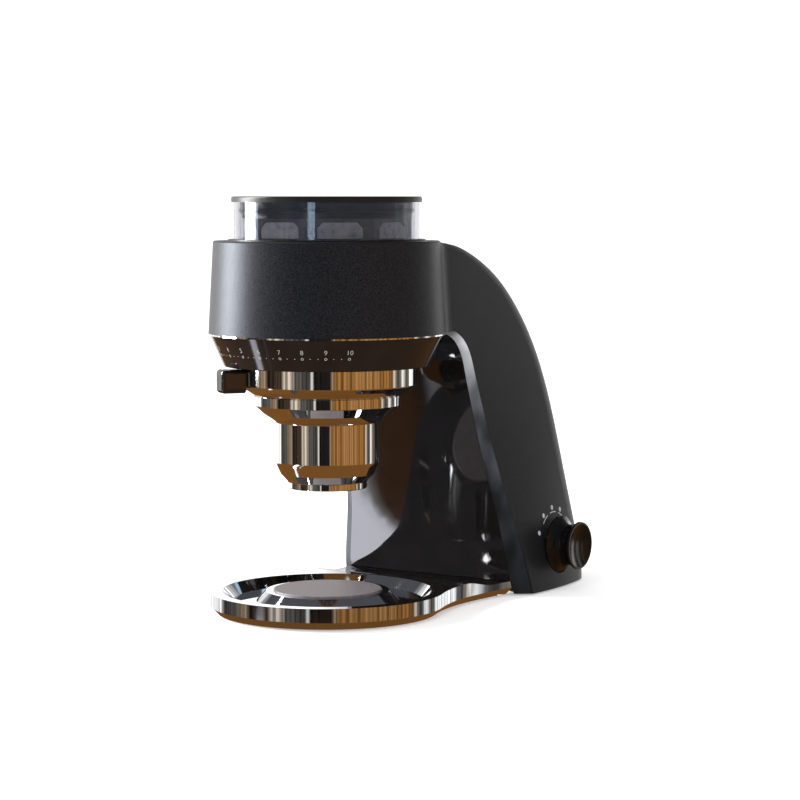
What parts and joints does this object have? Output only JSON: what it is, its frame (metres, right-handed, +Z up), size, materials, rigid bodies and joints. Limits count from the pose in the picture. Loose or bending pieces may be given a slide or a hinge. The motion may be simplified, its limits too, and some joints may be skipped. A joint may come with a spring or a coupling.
{
  "type": "burr coffee grinder",
  "caption": "Burr coffee grinder: round bean hopper and grinding head on a swept-back column, outlet over a round cup tray, ring dial for the grind and a timer knob on the side.",
  "frame": {"origin": "on the surface the grinder stands on, under the vertical axis of the burrs, dial, hopper and cup tray (the middle of the centre foot's face)", "axes": "+Z up, -Y to the front where the cup goes in, +X to the side with the timer knob"},
  "size_m": [0.1436, 0.2691, 0.2296],
  "materials": {
    "powder_coat": "matte fine-grain powder coat",
    "gloss_black": "high gloss",
    "black_chrome": "satin dark chrome",
    "chrome": "polished",
    "smoked_clear": "smoked transparent plastic, polished",
    "funnel_grey": "smoked, glossy",
    "satin_black": "satin moulded",
    "rubber_black": "matte",
    "mat_rubber": "matte",
    "seal_rubber": "matte",
    "dial_print": "gloss black with white print",
    "burr_steel": "ground hardened steel",
    "shaft_steel": "ground",
    "zinc_screw": "zinc plated",
    "acetal": "natural acetal",
    "glass_nylon": "glass-filled nylon",
    "motor_can": "zinc plated steel can",
    "pinion_brass": "machined",
    "board_green": "solder mask",
    "supply_black": "potted module",
    "ballast_iron": "painted plate"
  },
  "bodies": {
    "housing": {"hopper_seat": "satin_black", "housing": "powder_coat", "front_panel": "gloss_black", "arch_trim": "black_chrome", "head_trim_ring": "chrome", "dial_ring": "dial_print", "base_casting": "chrome", "cup_mat": "mat_rubber", "selector_switch": "glass_nylon", "switch_nut": "shaft_steel", "idler_shaft": "shaft_steel", "motor": "motor_can", "spindle_bearings": "shaft_steel", "gear_housing": "glass_nylon", "gear_cover": "glass_nylon", "gear_cover_screws": "zinc_screw", "gearbox_screws": "zinc_screw", "motor_screws": "zinc_screw", "dial_screws": "zinc_screw", "housing_screws": "zinc_screw", "cover_screws": "zinc_screw", "bottom_cover": "satin_black", "feet": "rubber_black", "power_inlet": "satin_black", "power_supply": "supply_black", "circuit_board": "board_green", "hopper_sensor": "satin_black", "ballast_plate": "ballast_iron"},
    "hopper": {"hopper": "smoked_clear", "bean_funnel": "funnel_grey"},
    "lid": {"hopper_lid": "satin_black", "lid_seal": "seal_rubber"},
    "collar": {"grind_collar": "chrome", "adjust_lever": "gloss_black", "lever_screw": "zinc_screw"},
    "carrier": {"burr_carrier": "glass_nylon", "ring_burr": "burr_steel"},
    "outlet": {"outlet_chute": "chrome", "chute_oring": "seal_rubber"},
    "burr_drive": {"driven_gear": "acetal", "burr_spindle": "shaft_steel", "cone_burr": "burr_steel", "spindle_nut": "zinc_screw"},
    "idler": {"idler_gear": "acetal"},
    "motor_rotor": {"motor_pinion": "pinion_brass", "motor_shaft": "shaft_steel"},
    "knob": {"timer_knob": "gloss_black", "knob_shaft": "shaft_steel"}
  },
  "joints": [
    {"name": "hopper_lift", "type": "slide", "parent": "housing", "child": "hopper", "axis": [0, 0, 1], "range_m": [0, 0.045]},
    {"name": "lid_lift", "type": "slide", "parent": "hopper", "child": "lid", "axis": [0, 0, 1], "range_m": [0, 0.03]},
    {"name": "grind_adjust", "type": "hinge", "parent": "housing", "child": "collar", "pos_m": [0, 0, 0.13], "axis": [0, 0, 1], "range_deg": [-34.6, 80]},
    {"name": "burr_feed", "type": "slide", "parent": "collar", "child": "carrier", "axis": [0, 0, 1], "range_m": [-0.0002, 0.0004]},
    {"name": "outlet_pull", "type": "slide", "parent": "collar", "child": "outlet", "axis": [0, 0, -1], "range_m": [0, 0.016]},
    {"name": "burr_spin", "type": "hinge", "parent": "housing", "child": "burr_drive", "pos_m": [0, 0, 0.15], "axis": [0, 0, 1], "continuous": true},
    {"name": "idler_spin", "type": "hinge", "parent": "housing", "child": "idler", "pos_m": [0, 0.06, 0.166], "axis": [0, 0, 1], "continuous": true},
    {"name": "motor_spin", "type": "hinge", "parent": "housing", "child": "motor_rotor", "pos_m": [0, 0.094, 0.15], "axis": [0, 0, 1], "continuous": true},
    {"name": "knob_turn", "type": "hinge", "parent": "housing", "child": "knob", "pos_m": [0.07, 0.146, 0.026], "axis": [1, 0, 0], "range_deg": [-96, 32]}
  ],
  "couplings": [
    {"joint": "burr_feed", "follows": "grind_adjust", "m_per_rad": 0.00024},
    {"joint": "idler_spin", "follows": "burr_spin", "ratio": -1.3077},
    {"joint": "motor_spin", "follows": "burr_spin", "ratio": 4.25}
  ]
}
